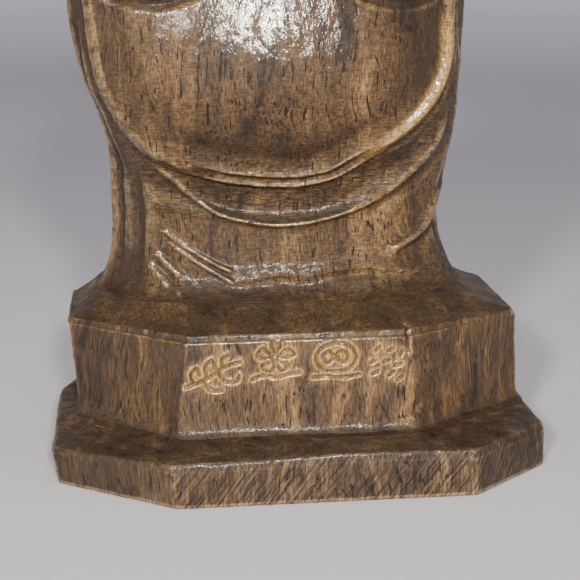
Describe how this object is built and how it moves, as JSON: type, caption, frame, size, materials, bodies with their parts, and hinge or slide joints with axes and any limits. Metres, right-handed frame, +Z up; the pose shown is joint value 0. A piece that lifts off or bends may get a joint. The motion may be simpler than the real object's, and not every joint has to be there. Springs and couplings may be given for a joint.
{
  "type": "carved wooden figurine",
  "caption": "Small dark hardwood statuette of a robed standing figure with joined hands, on a two-step clipped plinth, pegged together from separately carved blocks.",
  "frame": {"origin": "centre of the base slab's underside", "axes": "+Z up, -Y towards the figure's front, +X to the viewer's right when facing the front"},
  "size_m": [0.066, 0.051, 0.1299],
  "materials": {
    "plinth_wood": "carved walnut-like hardwood, oiled and waxed, with saw marks",
    "figure_wood": "carved walnut-like hardwood, oiled and waxed, tool marks left",
    "dowel_wood": "plain turned beech, unfinished"
  },
  "bodies": {
    "root": {"base_slab": "plinth_wood", "plinth_block": "plinth_wood", "slab_dowels": "dowel_wood", "robed_body": "figure_wood", "body_dowels": "dowel_wood", "head": "figure_wood", "neck_dowel": "dowel_wood", "hands": "figure_wood", "wrist_dowel": "dowel_wood"}
  },
  "joints": []
}
